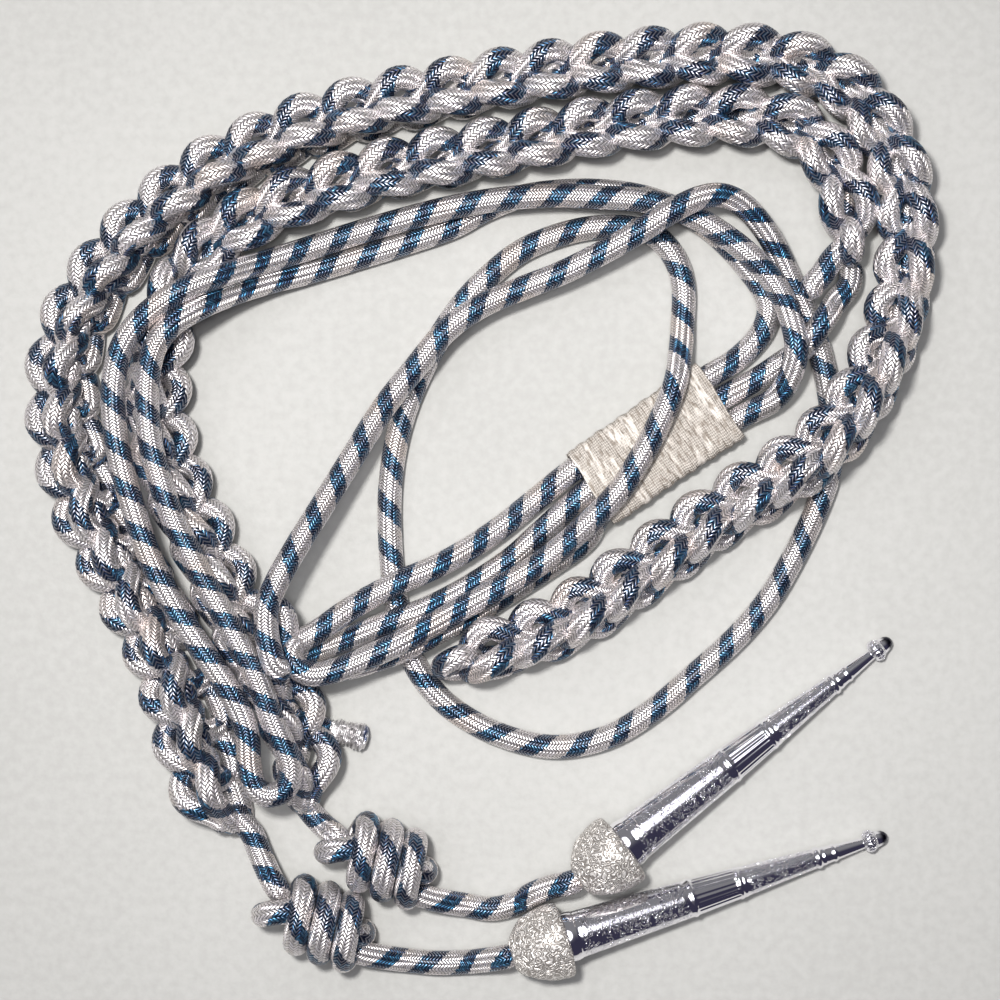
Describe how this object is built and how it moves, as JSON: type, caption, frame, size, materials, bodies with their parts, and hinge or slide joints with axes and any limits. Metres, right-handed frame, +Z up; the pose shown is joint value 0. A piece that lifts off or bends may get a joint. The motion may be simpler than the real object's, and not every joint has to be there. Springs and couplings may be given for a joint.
{
  "type": "aiguillette",
  "caption": "Shoulder aiguillette of silver and blue wire cord, with plaits, plain loops, a ribbon band, barrel knots and tapered silver tags.",
  "frame": {"origin": "bottom centre of the bounding box, on the surface the piece lies on", "axes": "+Z up from the surface, +Y towards the curve of the plaits, +X towards the tips of the tags"},
  "size_m": [0.2254, 0.2344, 0.0257],
  "materials": {
    "plaited_cord": "silver wire braid with dark blue marks, plaited",
    "wire_cord": "silver wire braid with dark blue marks",
    "wire_net": "netting of pale silver wire",
    "tag_metal": "bright plated, chased ornament",
    "wire_ribbon": "pleated silver ribbon",
    "whipping_thread": "bound with silver thread"
  },
  "bodies": {
    "root": {"long_plait": "plaited_cord", "short_plait": "plaited_cord", "ring_cord": "wire_cord", "pair_cord": "wire_cord", "tail_cord": "wire_cord", "tail_bight": "wire_cord", "foot_bight": "wire_cord", "long_plait_tail": "wire_cord", "short_plait_tail": "wire_cord", "tag_cord_1": "wire_cord", "tag_cord_2": "wire_cord", "knot_1": "plaited_cord", "knot_2": "plaited_cord", "net_cap_1": "wire_net", "net_cap_2": "wire_net", "tag_1": "tag_metal", "tag_2": "tag_metal", "ribbon_band": "wire_ribbon", "stub_end": "whipping_thread"}
  },
  "joints": []
}
